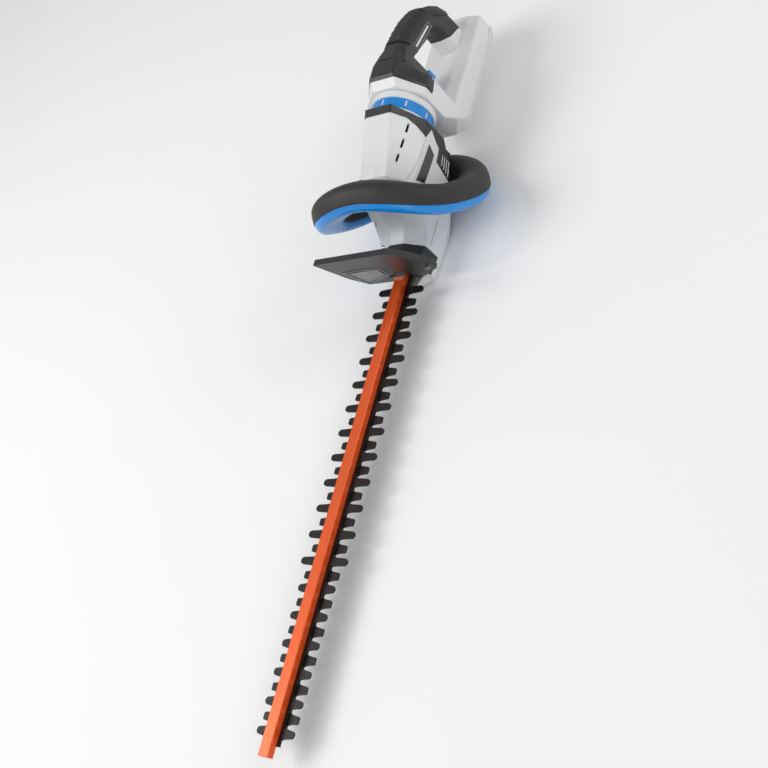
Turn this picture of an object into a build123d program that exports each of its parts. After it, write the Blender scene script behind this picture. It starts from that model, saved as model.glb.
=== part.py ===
from build123d import *
import os
from math import atan2, cos, degrees, pi, radians, sin, sqrt

# Cordless hedge trimmer with double-sided reciprocating blades, a wrap-around front handle
# and a rear D-handle that turns about the long axis.
# All sizes are millimetres. The model is drawn about the blade datum: the first long tooth,
# in the plane where the two blades meet. +X runs to the blade tip, +Y to the tool's left, +Z up.

# ---- driving dimensions -------------------------------------------------------------------
TIP_X = 607.0              # far end of the blade cover
REAR_X = -432.0            # rear of the D-handle
BOTTOM_Z = -30.8           # underside of the skid pad below the gear case
SHIFT = Vector(-(TIP_X + REAR_X) / 2, 0, -BOTTOM_Z)   # datum -> centre of the footprint

PITCH = 34.0               # tooth pitch of each blade
BLADE_T = 2.5              # blade thickness
BLADE_GAP = 0.1            # half the play between the blades
SPINE = 12.0               # half width of the blades' solid spine
LONG_TOOTH = 36.6          # half widths over the tooth tips
SHORT_TOOTH = 28.8
INNER_TOOTH = 27.1
LONG_COUNT = 12
OUTER_COUNT = 18
STROKE = 8.0               # crank throw, half of the full stroke

COVER_W = 16.0
COVER_Z0 = 2.8
COVER_Z1 = 12.0

AXIS_Z = 90.0              # turning axis of the rear handle
WALL = 3.0
GEAR_X = -92.0             # axis of the drive gear
MODULE = 1.0
GEAR_TEETH = 60
PINION_TEETH = 12
MOTOR_X = GEAR_X - MODULE * (GEAR_TEETH + PINION_TEETH) / 2


# ---- small helpers ------------------------------------------------------------------------
def box(x0, x1, y0, y1, z0, z1):
    """Block between two corners."""
    return Pos((x0 + x1) / 2, (y0 + y1) / 2, (z0 + z1) / 2) * Box(x1 - x0, y1 - y0, z1 - z0)


def rod(x, y, z0, z1, r):
    """Upright cylinder from z0 to z1."""
    return Pos(x, y, (z0 + z1) / 2) * Cylinder(r, z1 - z0)


def rod_y(x, z, y0, y1, r):
    """Cylinder along Y from y0 to y1."""
    return Pos(x, (y0 + y1) / 2, z) * Rot(90, 0, 0) * Cylinder(r, y1 - y0)


def rod_x(y, z, x0, x1, r):
    """Cylinder along X from x0 to x1."""
    return Pos((x0 + x1) / 2, y, z) * Rot(0, 90, 0) * Cylinder(r, x1 - x0)


def prism_xz(points, y0, y1):
    """Side-view outline (x, z) carried across from y0 to y1."""
    wire = Wire.make_polygon([Vector(x, y0, z) for x, z in points], close=True)
    return Solid.extrude(Face(wire), Vector(0, y1 - y0, 0))


def prism_xy(points, z0, z1):
    """Plan outline (x, y) raised from z0 to z1."""
    wire = Wire.make_polygon([Vector(x, y, z0) for x, y in points], close=True)
    return Solid.extrude(Face(wire), Vector(0, 0, z1 - z0))


def prism_yz(points, x0, x1):
    """Front-view outline (y, z) carried along from x0 to x1."""
    wire = Wire.make_polygon([Vector(x0, y, z) for y, z in points], close=True)
    return Solid.extrude(Face(wire), Vector(x1 - x0, 0, 0))


def facet_section(station, inset, radius):
    """Eight-sided section (x, top z, half top, shoulder z, half width, haunch z, half base, base z)."""
    x, zt, wt, zu, wm, zl, wb, zb = station
    half = [(wt - 0.4 * inset, zt - inset), (wm - inset, zu - 0.3 * inset),
            (wm - inset, zl + 0.3 * inset), (wb - 0.4 * inset, zb + inset)]
    loop = half + [(-y, z) for y, z in reversed(half)]
    face = Face(Wire.make_polygon([Vector(x, y, z) for y, z in loop], close=True))
    if radius:
        face = face.fillet_2d(radius, face.vertices())
    return face.outer_wire()


def faceted(stations, inset=0.0, radius=6.0):
    """Straight-ruled body through a row of eight-sided sections."""
    return Solid.make_loft([facet_section(s, inset, radius) for s in stations], ruled=True)


def halves(solid, gap=0.0):
    """Left (+Y) and right (-Y) halves of a shell, split on the centre plane."""
    big = 2000.0
    left = solid & box(-big, big, gap, big, -big, big)
    right = solid & box(-big, big, -big, -gap, -big, big)
    return left, right


def group(items):
    """Several separate solids kept together as one node."""
    solids = []
    for item in items:
        solids += list(item.solids())
    return Compound(solids)


def trimmed(stations, front, rear):
    """The same stations pulled in at both ends."""
    rows = [list(s) for s in stations]
    rows[0][0] += front
    rows[-1][0] += rear
    return [tuple(r) for r in rows]


# Columns: x, top z, half top width, shoulder z, half width, haunch z, half base width, base z.
HOUSING = [
    (-197.0, 137.5, 21, 93, 48.0, 52, 24, 40),
    (-172.0, 129.5, 21, 89, 49.5, 32, 25, 20),
    (-150.0, 122.0, 21, 88, 49.5, 20, 26, 4),
    (-122.0, 112.5, 20, 86, 48.5, 4, 29, -18),
    (-107.0, 107.0, 19, 82, 47.0, -2, 30, -27),
    (-96.0, 90.0, 17, 64, 45.0, -6, 30, -30),
    (-83.0, 60.0, 15, 42, 42.5, -8, 30, -30),
    (-70.0, 42.0, 12, 28, 40.0, -9, 29, -30),
    (-52.0, 31.5, 10, 20, 36.0, -10, 27, -30),
    (-31.0, 28.0, 9, 17, 33.0, -10, 24, -30),
]

nodes = {}


def keep(name, shape):
    """Remember a finished piece under its node name."""
    nodes[name] = shape


# ---- blades -------------------------------------------------------------------------------
def tooth(x, side, reach, rounded, z0):
    """One tooth, root inside the spine and tip at the given reach."""
    tip_w = 4.5
    end = reach - tip_w if rounded else reach
    outline = [(x - 9.5, 8), (x - 6.2, 15), (x - 5.2, 20), (x - tip_w, end - (0 if rounded else 1.2))]
    if not rounded:
        outline.append((x - tip_w + 1.2, end))
    outline += [(2 * x - px, py) for px, py in reversed(outline)]
    shape = prism_xy([(px, side * py) for px, py in outline], z0, z0 + BLADE_T)
    if rounded:
        shape = shape + rod(x, side * end, z0, z0 + BLADE_T, tip_w)
    return shape


def blade(first_x, reaches, rounded, z0, tail_x):
    """Flat blade: spine, teeth on both sides, bolt slots and a narrow tail."""
    last_x = first_x + PITCH * (len(reaches) - 1)
    z1 = z0 + BLADE_T
    body = box(-20, last_x + 15, -SPINE, SPINE, z0, z1) + box(tail_x, -20, -10, 10, z0, z1) + rod(tail_x, 0, z0, z1, 10)
    for i, reach in enumerate(reaches):
        body += tooth(first_x + PITCH * i, 1, reach, rounded, z0)
        body += tooth(first_x + PITCH * i, -1, reach, rounded, z0)
    for x in BOLT_X + [GUIDE_X]:
        for end in (-1, 1):
            body -= rod(x + end * (STROKE + 0.5), 0, z0 - 1, z1 + 1, 3.3)
        body -= box(x - STROKE - 0.5, x + STROKE + 0.5, -3.3, 3.3, z0 - 1, z1 + 1)
    return body


BOLT_X = [17 + 102 * i for i in range(6)]
GUIDE_X = -14.0
PIN_X = -48.0
outer_reach = [LONG_TOOTH] * LONG_COUNT + [SHORT_TOOTH] * (OUTER_COUNT - LONG_COUNT)
inner_reach = [INNER_TOOTH] * (OUTER_COUNT - 1)
upper = blade(0.0, outer_reach, True, BLADE_GAP, PIN_X)
upper += rod(PIN_X, 0, BLADE_GAP, 3.2, 5.0)
lower = blade(PITCH / 2, inner_reach, False, -BLADE_GAP - BLADE_T, PIN_X)
lower += rod(PIN_X, 0, -3.2, -BLADE_GAP, 5.0)
keep("blade_upper", upper)
keep("blade_lower", lower)

# Orange cover bar: closed on top, grooved on both sides, tapped from below for the blade bolts.
NUT_Z = 9.0
bar = box(-30.0, TIP_X, -COVER_W / 2, COVER_W / 2, COVER_Z0, COVER_Z1)
for side in (1, -1):
    y_out = side * COVER_W / 2
    bar -= box(-31.0, TIP_X + 1, y_out - 0.9, y_out + 0.9, 8.3, 9.4)
    bar -= box(-31.0, TIP_X + 1, y_out - 0.7, y_out + 0.7, 4.9, 5.9)
bar = chamfer(bar.edges().filter_by(Axis.X).group_by(Axis.Z)[-1], 0.8)
for x in BOLT_X + [GUIDE_X]:
    bar -= rod(x, 0, COVER_Z0 - 1, NUT_Z, 2.5)
keep("blade_cover", bar)

# Shoulder bolts come up through both blades into the cover, each over a wide washer.
bolts, washers = [], []
for x in BOLT_X + [GUIDE_X]:
    bolt = rod(x, 0, -3.7, COVER_Z0, 3.0) + rod(x, 0, COVER_Z0, NUT_Z, 2.5) + rod(x, 0, -6.7, -3.7, 5.5)
    bolt -= Pos(x, 0, -6.0) * extrude(RegularPolygon(2.3, 6), amount=1.6, both=True)
    bolts.append(bolt)
    washers.append(rod(x, 0, -3.6, -2.7, 8.0) - rod(x, 0, -4, -2, 3.1))
keep("blade_bolts", group(bolts))
keep("blade_washers", group(washers))


# ---- gear train ---------------------------------------------------------------------------
def spur(teeth, z0, z1, bore, turn=0.0):
    """Spur gear with straight-sided teeth about its own axis."""
    r = MODULE * teeth / 2
    root, outer = r - 1.15 * MODULE, r + 0.9 * MODULE
    pitch = 2 * pi / teeth
    points = []
    for i in range(teeth):
        for radius, share in ((root, -0.34), (outer, -0.13), (outer, 0.13), (root, 0.34)):
            angle = radians(turn) + pitch * (i + share)
            points.append(Vector(radius * cos(angle), radius * sin(angle), 0))
    flat = Face(Wire.make_polygon(points, close=True)) - Circle(bore)
    return Pos(0, 0, z0) * extrude(flat, amount=z1 - z0)


SHAFT_R = 6.0
gear = spur(GEAR_TEETH, 8.4, 14.0, SHAFT_R, turn=180.0 / GEAR_TEETH)
for i in range(6):
    gear -= Pos(19 * cos(i * pi / 3), 19 * sin(i * pi / 3), 11) * Cylinder(5, 10)
keep("drive_gear", Pos(GEAR_X, 0, 0) * gear)
keep("eccentric_upper", rod(GEAR_X, STROKE, 3.9, 7.9, 16.0) - rod(GEAR_X, 0, 3, 9, SHAFT_R))
keep("eccentric_lower", rod(GEAR_X, -STROKE, -7.9, -3.9, 16.0) - rod(GEAR_X, 0, -9, -3, SHAFT_R))
keep("gear_shaft", rod(GEAR_X, 0, -20.5, 21.5, SHAFT_R))


def con_rod(offset, z0, z1):
    """Connecting rod from an eccentric's centre to the drive pin of its blade."""
    big, small = 20.5, 6.0
    length = sqrt((PIN_X - GEAR_X) ** 2 + offset ** 2)
    angle = degrees(atan2(-offset, PIN_X - GEAR_X))
    web = Pos(length / 2, 0) * Rectangle(length, 11)
    flat = Circle(big) + web + Pos(length, 0) * Circle(small)
    flat = flat - Circle(16.05) - Pos(length, 0) * Circle(3.0)
    body = extrude(flat, amount=z1 - z0)
    return Pos(GEAR_X, offset, z0) * Rot(0, 0, angle) * body


keep("connecting_rod_upper", con_rod(STROKE, 4.0, 7.6))
keep("connecting_rod_lower", con_rod(-STROKE, -7.6, -4.0))


def ball_bearing(x, z0, z1, r_in, r_out):
    """Sealed ball bearing: outer ring, inner ring and shield as one closed ring."""
    ring = rod(x, 0, z0, z1, r_out) - rod(x, 0, z0 - 1, z1 + 1, r_in)
    shield = rod(x, 0, z1 - 0.6, z1 + 1, r_out - 2.5) - rod(x, 0, z1 - 1, z1 + 2, r_in + 2)
    return ring - shield


keep("gear_bearings", group([ball_bearing(GEAR_X, 15.6, 20.6, SHAFT_R + 0.03, 12.0),
                             ball_bearing(GEAR_X, -20.4, -15.4, SHAFT_R + 0.03, 12.0)]))

# Cast gear case: a waisted box round the gears, open below, with bosses for both bearings.
case_plan = [(-145, -24), (-145, 24), (-124, 36), (-84, 36), (-72, 33), (-56, 30), (-36, 24), (-36, -24), (-56, -30), (-72, -33), (-84, -36),
             (-124, -36)]
inner_plan = [(-142, -22), (-142, 22), (-123, 33), (-84.5, 33), (-73, 30), (-57, 27), (-39, 21), (-39, -21), (-57, -27), (-73, -30),
              (-84.5, -33), (-123, -33)]
CASE_TOP, CASE_BASE = 18.0, -21.0
bilge = prism_yz([(-40, 20), (-40, -8), (-36, -8), (-28, -22), (-27.5, -24.5), (27.5, -24.5), (28, -22), (36, -8),
                  (40, -8), (40, 20)], -160, -20)
case_side = prism_xz([(-145, 5), (-130, 5), (-125.5, -11), (-110, -21), (-110, -24), (-36, -24), (-36, 18), (-145, 18)],
                     -40, 40)
case_outer = prism_xy(case_plan, CASE_BASE - 3.0, CASE_TOP) & case_side & bilge & faceted(HOUSING, WALL + 0.3, 3.0)
inner_side = prism_xz([(-142, 8), (-128.2, 8), (-122.3, -9.5), (-107, -18.2), (-107, -25), (-39, -25), (-39, 15.2),
                       (-142, 15.2)], -40, 40)
bilge_in = prism_yz([(-33, 20), (-33, -8), (-25, -22), (-24.5, -25), (24.5, -25), (25, -22), (33, -8), (33, 20)],
                    -160, -20)
cavity = prism_xy(inner_plan, -26, 15.2) & inner_side & bilge_in & faceted(HOUSING, WALL + 3.0, 3.0)
case = case_outer - cavity - box(-160, -20, -50, 50, -30, CASE_BASE)
case_screw_at = [(-96, 22), (-96, -22), (-74, 22), (-74, -22), (-45, 13), (-45, -13)]
for x, y in case_screw_at:
    side = 1 if y > 0 else -1
    case += box(x - 3.2, x + 3.2, min(y - 3.2 * side, 40 * side), max(y - 3.2 * side, 40 * side), -21, -9.5) & case_outer
    case -= rod(x, y, -22, -12, 1.5)
case += rod(GEAR_X, 0, 15.2, 22.5, 15.5)
case -= rod(GEAR_X, 0, 15.0, 20.7, 12.0)
case -= rod(GEAR_X, 0, 10.0, 22.0, 7.0)
case -= rod(MOTOR_X, 0, 10.0, 30.0, 8.0)
case -= box(-41, -30, -20.5, 20.5, -9.0, 12.0)
case += box(-40, -13, -8, 8, COVER_Z1, 15.8)
case_screws = []
cover = (case_outer & box(-160, -20, -50, 50, -30, CASE_BASE)) + rod(GEAR_X, 0, CASE_BASE, -15.0, 15.0)
cover -= rod(GEAR_X, 0, -20.5, -10.0, 12.0)
for x, y in case_screw_at:
    cover -= rod(x, y, -30, -15, 1.7)
    case_screws.append(rod(x, y, -25.6, CASE_BASE - 3.0, 3.2) + rod(x, y, CASE_BASE - 3.0, -12.5, 1.5))
keep("gear_case_cover", cover)
keep("gear_case_screws", group(case_screws))
tongue_screws = []
for x in (-26, -19):
    case -= rod(x, 0, 11, 17, 1.7)
    nodes["blade_cover"] -= rod(x, 0, 6, 13, 1.5)
    tongue_screws.append(rod(x, 0, 15.8, 17.6, 3.0) + rod(x, 0, 6.5, 15.8, 1.5))
keep("gear_case", case)
keep("cover_screws", group(tongue_screws))

# ---- motor, standing on the gear case -----------------------------------------------------
can = rod(MOTOR_X, 0, 23.0, 78.0, 25.0) - rod(MOTOR_X, 0, 25.5, 75.5, 23.0)
can -= rod(MOTOR_X, 0, 20, 80, 5.0)
can += rod(MOTOR_X, 0, 18.0, 23.0, 14.0) - rod(MOTOR_X, 0, 17, 24, 7.9)
for i in range(8):
    angle = 45 * i
    can -= Pos(MOTOR_X, 0, 40) * Rot(0, 0, angle) * Pos(24, 0, 0) * Box(8, 7, 14)
keep("motor_can", can)
keep("motor_stator", rod(MOTOR_X, 0, 34, 66, 22.6) - rod(MOTOR_X, 0, 33, 67, 15.0))
rotor = rod(MOTOR_X, 0, 30, 70, 14.4) - rod(MOTOR_X, 0, 29, 71, 2.5)
keep("motor_rotor", rotor)
keep("motor_shaft", rod(MOTOR_X, 0, 8.2, 92.0, 2.5))
keep("motor_bearings", group([rod(MOTOR_X, 0, 23.1, 27.5, 4.95) - rod(MOTOR_X, 0, 22, 29, 2.53),
                              rod(MOTOR_X, 0, 73.4, 77.9, 4.95) - rod(MOTOR_X, 0, 72, 79, 2.53)]))
keep("motor_pinion", Pos(MOTOR_X, 0, 0) * spur(PINION_TEETH, 8.2, 14.2, 2.5))
fan = rod(MOTOR_X, 0, 81.0, 82.6, 22.0) + rod(MOTOR_X, 0, 81.0, 90.0, 5.0)
for i in range(9):
    fan += Pos(MOTOR_X, 0, 86.0) * Rot(0, 0, 40 * i) * Pos(12.5, 0, 0) * Rot(0, 0, 20) * Box(17, 1.4, 8.0)
fan -= rod(MOTOR_X, 0, 80, 91, 2.5)
keep("cooling_fan", fan)

# ---- main housing -------------------------------------------------------------------------
outer = faceted(HOUSING, 0.0, 5.0)
inner = faceted(trimmed(HOUSING, WALL, -WALL), WALL, 3.0)
shell = outer - inner
HUB_R = 35.0
shell -= rod_x(0, AXIS_Z, -199, -190, HUB_R)
shell -= box(-36, -28, -17, 17, -10.0, 16.0)
for x in (-175.0, -153.5, -133.0):
    for side in (1, -1):
        shell -= Pos(x, side * 32, 108) * Rot(side * -57, -17, 0) * Box(12.5, 3.2, 14)
vent_box = [(-181, 20), (-181, 56), (-157, 51), (-146, 20)]
for side in (1, -1):
    shell -= prism_xz([(-178, 30), (-178, 52), (-160, 48), (-152, 30)], side * 42, side * 55)
screw_at = [(-183, 121, 27), (-183, 62, 46), (-112, 99, 32), (-163, 23, 36), (-58, 24.3, 31), (-84, 44, 38)]
screws = []
for x, z, reach in screw_at:
    shell += (rod_y(x, z, 0, reach, 4.2) + rod_y(x, z, -reach, 0, 4.6)) & outer
    shell -= rod_y(x, z, -60, -reach + 3, 3.4)
    shell -= rod_y(x, z, -reach, 0, 1.8) + rod_y(x, z, -1, reach - 9, 1.4)
    screws.append(rod_y(x, z, -reach + 0.6, -reach + 3, 3.2) + rod_y(x, z, -reach + 3, 0, 1.7)
                  + rod_y(x, z, 0, reach - 10, 1.4))
case_block = case_outer + box(-150, -30, -27.5, 27.5, -40, -24)
for x0, x1 in ((-113, -110), (-64, -61)):
    shell += (inner & box(x0, x1, -60, 60, -40, 16)) - case_block
baffle = (inner & box(-162, -99, -60, 60, 66, 69)) - rod(MOTOR_X, 0, 60, 80, 25.0)
shell += baffle
ledge = (inner & box(-190, -158, -60, 60, 36, 38)) - box(-191, -157, -26, 26, 30, 40)
shell += ledge
shell += box(-90, -40, -20, 20, BOTTOM_Z, -28.5)
chin = prism_xz([(-34, -29.6), (-17, -17.5), (-13, -13.0), (-13, -10.4), (-34, -10.4)], -30, 30)
shell += chin & prism_xy([(-34.5, -24.5), (-34.5, 24.5), (-13, 13), (-13, -13)], -40, 0)
shallow = outer - faceted(HOUSING, 1.2, 5.0)
for line in ([(-172, 86.0), (-172, 88.0), (-108, 90.0), (-108, 88.0)], [(-94, 17.5), (-94, 20.0), (-60, 11.8), (-60, 10.2)]):
    shell -= shallow & prism_xz(line, -70, 70)
SADDLE_SCREWS = [(-166, -12), (-166, 12)]
for x, y in SADDLE_SCREWS:
    shell -= rod(x, y, 5, 20.5, 2.2)
left_shell, right_shell = halves(shell)
keep("housing_left", left_shell)
keep("housing_right", right_shell)
keep("housing_screws", group(screws))
board = box(-184, -160, -29, 29, 38, 39.6) + box(-182, -170, -20, -6, 39.6, 46) + box(-180, -166, 2, 18, 39.6, 43)
keep("control_board", board)

# Dark chevron band and blank label plates lie on the outside of the housing.
skin = faceted(HOUSING, -0.9, 5.0) - outer
band_side = [(-198, 142), (-186, 142), (-187, 132), (-189, 115), (-184, 102), (-174, 88), (-193, 80),
             (-182, 66), (-178, 58), (-158, 56), (-147, 18), (-198, 30)]
band = skin & prism_xz(band_side, -70, 70)
vent_side = [(-179, 28), (-179, 53), (-159.5, 49.5), (-150.5, 28)]
vents = []
for side in (1, -1):
    band -= prism_xz(vent_side, side * 30, side * 70)
keep("trim_band", group([s for s in band.solids() if s.volume > 30]))
thick = faceted(HOUSING, -1.2, 5.0) - faceted(HOUSING, 2.6, 3.0)
plate_skin = faceted(HOUSING, -0.5, 5.0) - outer
labels = []
for side, name in ((1, "left"), (-1, "right")):
    grille = thick & prism_xz([(-177.8, 30.2), (-177.8, 51.8), (-160.1, 47.9), (-152.2, 30.2)], side * 43, side * 60)
    for i in range(4):
        grille -= Pos(-166 + 1.2 * i, side * 50, 47.0 - 5.2 * i) * Rot(0, 14, 0) * Box(17 + 2 * i, 20, 2.2)
    keep("side_vent_" + name, grille)
    label = plate_skin & prism_xz([(-170, 78), (-112, 81), (-118, 65), (-163, 64)], side * 44, side * 60)
    labels.append(label)
keep("label_plates", group(labels))

# ---- turning joint between power head and rear handle ----------------------------------------
hub = rod_x(0, AXIS_Z, -250, -191, HUB_R) + rod_x(0, AXIS_Z, -250, -246, 40) + rod_x(0, AXIS_Z, -194, -191, 39)
hub -= rod_x(0, AXIS_Z, -260, -180, 30)
for i in range(-2, 3):
    a = radians(-90 + 45 * i)
    hub -= rod_x(40 * cos(a), AXIS_Z + 40 * sin(a), -252, -244, 2.4)
keep("swivel_hub", hub)
ring = rod_x(0, AXIS_Z, -216, -197, 42) - rod_x(0, AXIS_Z, -220, -190, HUB_R)
for i in range(-2, 3):
    a = radians(90 + 45 * i)
    ring -= rod_x(42 * cos(a), AXIS_Z + 42 * sin(a), -210, -203, 0.9)
keep("index_ring", ring)
collar = rod_x(0, AXIS_Z, -226, -216, 44.6) - rod_x(0, AXIS_Z, -230, -210, HUB_R)
keep("fixed_collar", collar)

# ---- hand guard ------------------------------------------------------------------------------
LEAN = 0.364
GUARD_T = 4.0
guard_outline = [(-61, 107), (61, 107), (66, 90), (75, 42), (75, 31), (68, 22), (29, -4), (14, -9), (-35, -10),
                 (-69, -8), (-72, 30)]


def guard_slab(offset0, offset1, z0=-30.0, z1=120.0):
    """Leaning slab between two offsets in front of the guard's rear face."""
    return prism_xz([(-26 + LEAN * z0 + offset0, z0), (-26 + LEAN * z1 + offset0, z1),
                     (-26 + LEAN * z1 + offset1, z1), (-26 + LEAN * z0 + offset1, z0)], -120, 120)


guard = prism_yz(guard_outline, -60, 60) & guard_slab(0, GUARD_T)
rim = prism_yz(guard_outline, -60, 60) - prism_yz([(y * 0.95, 50 + (z - 50) * 0.95) for y, z in guard_outline], -61, 61)
guard += rim & guard_slab(-5, 0.1) & box(-80, 80, -120, 120, 33, 120)
NOSE_EXT = [(-52.0, 31.5, 10, 20, 36.0, -10, 27, -30), (-31.0, 28.0, 9, 17, 33.0, -10, 24, -30),
            (-5.0, 24.0, 8, 13, 29.5, -10, 21, -30)]
sleeve = faceted(NOSE_EXT, -2.6, 5.0) - faceted(NOSE_EXT, 0.0, 5.0)
sleeve = sleeve & box(-52, 10, -70, 70, -8, 60)
sleeve = sleeve & prism_xz([(-60, -40), (-26 - LEAN * 40 + 2, -40), (-26 + LEAN * 60 + 2, 60), (-60, 60)], -90, 90)
guard += sleeve
guard -= box(-40, 0, -14.5, 14.5, -20, 18)
guard += rod_x(66, 37, -26 + LEAN * 37 - 6, -26 + LEAN * 37 + 2, 6.5)
guard -= rod_x(66, 37, -26 + LEAN * 37 - 8, -26 + LEAN * 37 + 9, 2.1)
keep("hand_guard", guard)
badge = prism_yz([(-56, 60), (7, 61), (-8, 21), (-67, -4)], -60, 60) & guard_slab(GUARD_T, GUARD_T + 0.8)
keep("guard_badge", badge)
keep("guard_screws", group([rod_x(66, 37, -26 + LEAN * 37 - 5, -26 + LEAN * 37 + 6, 2.1)
                            + rod_x(66, 37, -26 + LEAN * 37 + 6, -26 + LEAN * 37 + 8.2, 3.6)]))

# ---- front loop handle -----------------------------------------------------------------------
LOOP_X, LOOP_Z, LOOP_TILT = -114.5, 76.0, 44.9
LOOP_TOP_W, LOOP_BASE_W, LOOP_TOP, LOOP_BASE = 88.2, 97.3, 72.0, 114.3
LOOP_SWEEP = 33.6
TUBE_R, TUBE_N = 20.4, 19.6
up = Vector(sin(radians(90 - LOOP_TILT)), 0, cos(radians(90 - LOOP_TILT)))
fore = Vector(cos(radians(LOOP_TILT)), 0, -sin(radians(LOOP_TILT)))


def loop_point(angle):
    """Centre of the tube, outward direction and forward direction at a given turn round the loop."""
    c, s = cos(angle), sin(angle)
    power = 2 / 2.48
    y = (abs(c) ** power) * (1 if c > 0 else -1)
    h = (abs(s) ** power) * (1 if s > 0 else -1)
    y *= LOOP_BASE_W + (LOOP_TOP_W - LOOP_BASE_W) * (1 + h) / 2
    h *= LOOP_TOP if h > 0 else LOOP_BASE
    lead = LOOP_SWEEP * (y / 100) ** 2
    return Vector(LOOP_X, 0, LOOP_Z) + Vector(0, y, 0) + up * h + fore * lead


def loop_frames():
    """Stations from the foot of the loop up its left side to the top."""
    turns = [-90, -84, -76, -67, -57, -46, -34, -21, -8, 5, 18, 31, 43, 54, 64, 73, 81, 90]
    frames = []
    for t in turns:
        here = loop_point(radians(t))
        ahead, behind = loop_point(radians(t + 2)), loop_point(radians(t - 2))
        run = (ahead - behind).normalized()
        out = run.cross(fore).normalized()
        if t in (-90, 90):
            run = Vector(0, 1 if run.Y > 0 else -1, 0)
            out = run.cross(fore).normalized()
        frames.append((here, out, out.cross(run).normalized()))
    return frames


def loop_tube(profile):
    """Closed ring carrying a section (outward, forward) round the whole loop."""
    wires = [Wire.make_polygon([p + out * a + nose * b for a, b in profile], close=True)
             for p, out, nose in loop_frames()]
    half = Solid.make_loft(wires, ruled=True)
    return half + mirror(half, about=Plane.XZ)


def half_outline(sign, a, b, c):
    """Half of the rounded tube outline on one side of the split."""
    return [(a, 0), (a, sign * (b - c)), (a - c * 0.35, sign * (b - c * 0.35)), (a - c, sign * b),
            (-(a - c), sign * b), (-(a - c * 0.35), sign * (b - c * 0.35)), (-a, sign * (b - c)), (-a, 0)]


def half_section(sign, wall):
    """Channel section: half of the tube with a wall, open towards the other half."""
    inside = half_outline(sign, TUBE_R - wall, TUBE_N - wall, 11 - wall * 0.6)
    return half_outline(sign, TUBE_R, TUBE_N, 11) + list(reversed(inside))


keep("front_handle_shell", loop_tube(half_section(1, 3.0)))
keep("front_handle_grip", loop_tube(half_section(-1, 3.5)))
full = loop_tube(half_outline(1, TUBE_R, TUBE_N, 11) + list(reversed(half_outline(-1, TUBE_R, TUBE_N, 11)))[1:-1])
saddle = prism_xz([(-196.5, 55), (-150, 25), (-150, 0), (-172, -4), (-214, 4), (-214, 28), (-197.5, 36)], -21, 21)
saddle = saddle - full - outer - nodes["trim_band"] - box(-260, -197.0, -50, 50, 39, 80)
saddle = max(saddle.solids(), key=lambda s: s.volume)
foot_screws = []
for x, y in SADDLE_SCREWS:
    saddle -= rod(x, y, -20, 60, 2.2) + rod(x, y, -20, 0.0, 4.6)
    foot_screws.append(rod(x, y, 0.0, 20.4, 2.2) + rod(x, y, -2.6, 0.0, 4.2))
keep("saddle_screws", group(foot_screws))
keep("handle_saddle", saddle)

# ---- rear D-handle ---------------------------------------------------------------------------
REAR = [
    (-226.5, 137, 20, 112, 47, 62, 22, 42),
    (-240.0, 149, 20, 112, 50, 40, 28, 10),
    (-259.0, 151, 19, 108, 46, 18, 32, -4),
    (-277.0, 149, 17.5, 103, 22, 50, 20, 10),
    (-291.0, 146, 15, 99, 17, 52, 15, 12),
]
LOWER = [
    (-262.0, 46, 22, 40, 40, 14, 32, -4),
    (-404.0, 46, 22, 40, 40, 14, 32, -4),
    (-424.0, 44, 20, 38, 37, 14, 31, -3),
]
# Grip stations: outer point and inner point in side view, then the half width.
GRIP = [
    ((-266, 151), (-266, 104), 24), ((-288, 148), (-288, 112.5), 20), ((-318, 142.5), (-310, 110), 17),
    ((-344, 136.5), (-333, 103.5), 17), ((-367, 127.5), (-350, 97.5), 17), ((-385, 112), (-357, 93), 17),
    ((-397, 98), (-360, 83), 17), ((-404, 80), (-359.5, 71), 17), ((-406, 62), (-359, 60), 17.5),
    ((-406, 50), (-358, 50), 18), ((-405, 39), (-358, 39), 18.5),
]
DARK = [(-236, 220), (-236, 99), (-260, 98), (-289, 75), (-359, 71), (-374, 62), (-392, 55), (-401, 48),
        (-460, 48), (-460, 220)]


def grip_wire(outer_pt, inner_pt, w, inset):
    """Eight-sided section of the grip across its run."""
    ox, oz = outer_pt
    ix, iz = inner_pt
    t = sqrt((ox - ix) ** 2 + (oz - iz) ** 2) / 2
    d = Vector((ox - ix) / (2 * t), 0, (oz - iz) / (2 * t))
    mid = Vector((ox + ix) / 2, 0, (oz + iz) / 2)
    t, w = t - inset, w - inset
    half = [(0.5 * w, t), (w, 0.55 * t), (w, -0.55 * t), (0.5 * w, -t)]
    loop = half + [(-a, b) for a, b in reversed(half)]
    face = Face(Wire.make_polygon([mid + d * b + Vector(0, a, 0) for a, b in loop], close=True))
    return face.fillet_2d(4.0, face.vertices()).outer_wire()


def grip_body(inset, first=0, last=len(GRIP)):
    """Grip and rear pillar as one bent body."""
    return Solid.make_loft([grip_wire(o, i, w, inset) for o, i, w in GRIP[first:last]], ruled=True)


CONTACT_Y = [-15.0, -5.0, 5.0, 15.0]
casing = faceted(REAR, 0.0, 6.0)
lower_arm = faceted(LOWER, 0.0, 6.0)
casing_in = faceted(trimmed(REAR, -3.0, 3.0), WALL, 3.0)
lower_in = faceted(trimmed(LOWER, 0.0, 3.0), WALL, 3.0)
rear_outer = casing + lower_arm + grip_body(0.0)
rear_shell = rear_outer - casing_in - lower_in - grip_body(WALL)
bore = rod_x(0, AXIS_Z, -260, -220, HUB_R + 0.05)
rear_shell += (casing_in & box(-245.5, -242.5, -70, 70, 0, 160)) - rod_x(0, AXIS_Z, -246, -242, HUB_R + 0.05)
rear_shell += box(-425, -262, -38.5, 38.5, 34.3, 36.8) & rear_outer
rear_shell += box(-265.5, -262.5, -44, 44, -4, 36.8) & rear_outer
rear_shell -= rod_x(0, AXIS_Z, -232, -220, HUB_R + 0.05)
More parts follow.
